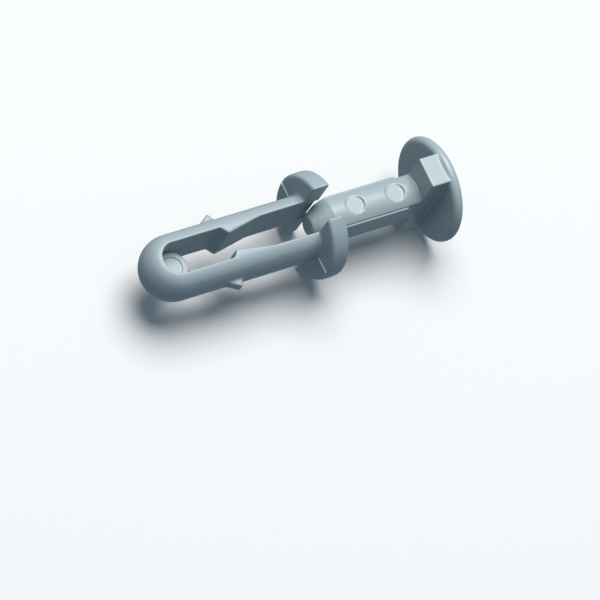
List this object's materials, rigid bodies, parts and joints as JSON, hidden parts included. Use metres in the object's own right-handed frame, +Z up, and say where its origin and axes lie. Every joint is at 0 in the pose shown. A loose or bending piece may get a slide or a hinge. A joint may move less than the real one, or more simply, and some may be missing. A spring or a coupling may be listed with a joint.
{
  "type": "expansion rivet",
  "caption": "Moulded plastic expansion rivet: a drive pin half entered between the barbed, ramped legs of a U-shaped split shank with a round split collar.",
  "frame": {"origin": "on the rivet's axis, in the plane of the collar's face that bears on the panel", "axes": "+X along the rivet, from the bow of the shank towards the pin's head; +Z up as it lies, square to the plane of the gap between the legs"},
  "size_m": [0.0296, 0.0094, 0.0094],
  "materials": {
    "shank_plastic": "satin light grey moulded polyamide",
    "pin_plastic": "satin light grey moulded polyamide"
  },
  "bodies": {
    "shank": {"bow": "shank_plastic"},
    "left_leg": {"left_leg": "shank_plastic"},
    "right_leg": {"right_leg": "shank_plastic"},
    "pin": {"drive_pin": "pin_plastic"}
  },
  "joints": [
    {"name": "pin_drive", "type": "slide", "parent": "shank", "child": "pin", "axis": [-1, 0, 0], "range_m": [0, 0.0106]},
    {"name": "left_leg_spread", "type": "hinge", "parent": "shank", "child": "left_leg", "pos_m": [-0.0132, 0.0029, 0], "axis": [0, 0, 1], "range_deg": [0, 12]},
    {"name": "right_leg_spread", "type": "hinge", "parent": "shank", "child": "right_leg", "pos_m": [-0.0132, -0.0029, 0], "axis": [0, 0, -1], "range_deg": [0, 12]}
  ],
  "couplings": [
    {"joint": "left_leg_spread", "follows": "pin_drive", "rad_per_m": 17.2},
    {"joint": "right_leg_spread", "follows": "pin_drive", "rad_per_m": 17.2}
  ]
}
